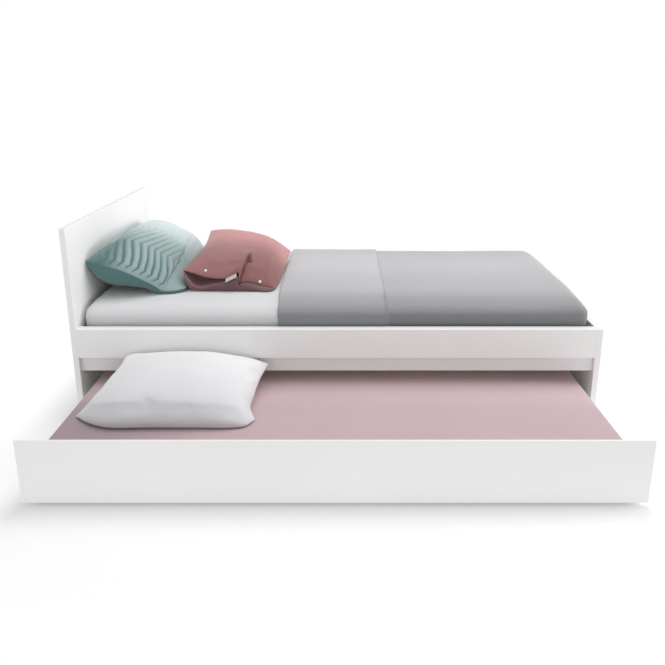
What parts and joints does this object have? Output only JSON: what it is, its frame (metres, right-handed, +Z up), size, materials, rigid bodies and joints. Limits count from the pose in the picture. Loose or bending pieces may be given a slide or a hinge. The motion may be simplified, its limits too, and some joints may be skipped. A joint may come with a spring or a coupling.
{
  "type": "trundle bed",
  "caption": "White single bed with a tall headboard and a low footboard, and a pull-out trundle on wheels under the side rail, both made up with bedding.",
  "frame": {"origin": "on the floor, under the middle of the outline with the trundle pulled part way out", "axes": "+X from headboard to footboard, +Y from the open front to the back, +Z up"},
  "size_m": [2.044, 1.494, 0.787],
  "materials": {
    "white_board": "satin white melamine on particle board, banded edges",
    "pine": "planed softwood, unvarnished",
    "hardboard": "thin white-faced fibre board",
    "zinc": "zinc-plated steel",
    "sheet_steel": "pressed grey-painted steel",
    "grey_nylon": "grey nylon with a soft tread",
    "white_glide": "hard white plastic",
    "webbing": "woven polyester tape",
    "white_sheet": "fitted white cotton sheet over a foam mattress",
    "grey_duvet": "light grey cotton duvet cover, thinly filled",
    "teal_cover": "grey-teal pillow cover with a raised herringbone",
    "pink_cover": "dusty pink cotton pillow cover",
    "white_cover": "white cotton pillow cover",
    "rose_sheet": "dusty rose jersey sheet over a foam mattress",
    "white_button": "pearly shirt button",
    "blank_tag": "blank woven tag"
  },
  "bodies": {
    "bed_frame": {"headboard": "white_board", "footboard": "white_board", "front_fascia": "white_board", "front_side_rail": "white_board", "back_side_rail": "white_board", "floor_glides": "white_glide", "front_ledger": "pine", "back_ledger": "pine", "rail_dowels": "pine", "slat_01": "pine", "slat_02": "pine", "slat_03": "pine", "slat_04": "pine", "slat_05": "pine", "slat_06": "pine", "slat_07": "pine", "slat_08": "pine", "slat_09": "pine", "slat_10": "pine", "slat_11": "pine", "slat_12": "pine", "cam_bolts": "zinc", "cam_locks": "zinc", "fascia_screws": "zinc", "ledger_screws": "zinc", "slat_webbing": "webbing", "main_mattress": "white_sheet", "duvet": "grey_duvet", "duvet_fold": "grey_duvet", "teal_pillow": "teal_cover", "pink_pillow": "pink_cover", "pillow_buttons": "white_button", "pillow_tag": "blank_tag"},
    "trundle": {"trundle_front": "white_board", "trundle_inner_front": "white_board", "trundle_back": "white_board", "trundle_side_head": "white_board", "trundle_side_foot": "white_board", "trundle_bearer_1": "pine", "trundle_bearer_2": "pine", "trundle_bearer_3": "pine", "trundle_bearer_4": "pine", "trundle_bearer_5": "pine", "trundle_base_head": "hardboard", "trundle_base_foot": "hardboard", "box_corner_screws": "zinc", "bearer_screws": "zinc", "front_panel_screws": "zinc", "caster_axles": "zinc", "caster_screws": "zinc", "caster_bracket_1": "sheet_steel", "caster_bracket_2": "sheet_steel", "caster_bracket_3": "sheet_steel", "caster_bracket_4": "sheet_steel", "trundle_mattress": "rose_sheet", "white_pillow": "white_cover"},
    "wheel_1": {"caster_wheel_1": "grey_nylon"},
    "wheel_2": {"caster_wheel_2": "grey_nylon"},
    "wheel_3": {"caster_wheel_3": "grey_nylon"},
    "wheel_4": {"caster_wheel_4": "grey_nylon"}
  },
  "joints": [
    {"name": "trundle_slide", "type": "slide", "parent": "bed_frame", "child": "trundle", "axis": [0, -1, 0], "range_m": [-0.514, 0.43], "deforming": ["white_pillow"]},
    {"name": "wheel_1_roll", "type": "hinge", "parent": "trundle", "child": "wheel_1", "pos_m": [-0.944, -0.64, 0.02], "axis": [1, 0, 0], "continuous": true},
    {"name": "wheel_2_roll", "type": "hinge", "parent": "trundle", "child": "wheel_2", "pos_m": [-0.944, 0.1, 0.02], "axis": [1, 0, 0], "continuous": true},
    {"name": "wheel_3_roll", "type": "hinge", "parent": "trundle", "child": "wheel_3", "pos_m": [0.944, -0.64, 0.02], "axis": [1, 0, 0], "continuous": true},
    {"name": "wheel_4_roll", "type": "hinge", "parent": "trundle", "child": "wheel_4", "pos_m": [0.944, 0.1, 0.02], "axis": [1, 0, 0], "continuous": true}
  ],
  "couplings": [
    {"joint": "wheel_1_roll", "follows": "trundle_slide", "rad_per_m": 50},
    {"joint": "wheel_2_roll", "follows": "trundle_slide", "rad_per_m": 50},
    {"joint": "wheel_3_roll", "follows": "trundle_slide", "rad_per_m": 50},
    {"joint": "wheel_4_roll", "follows": "trundle_slide", "rad_per_m": 50}
  ]
}
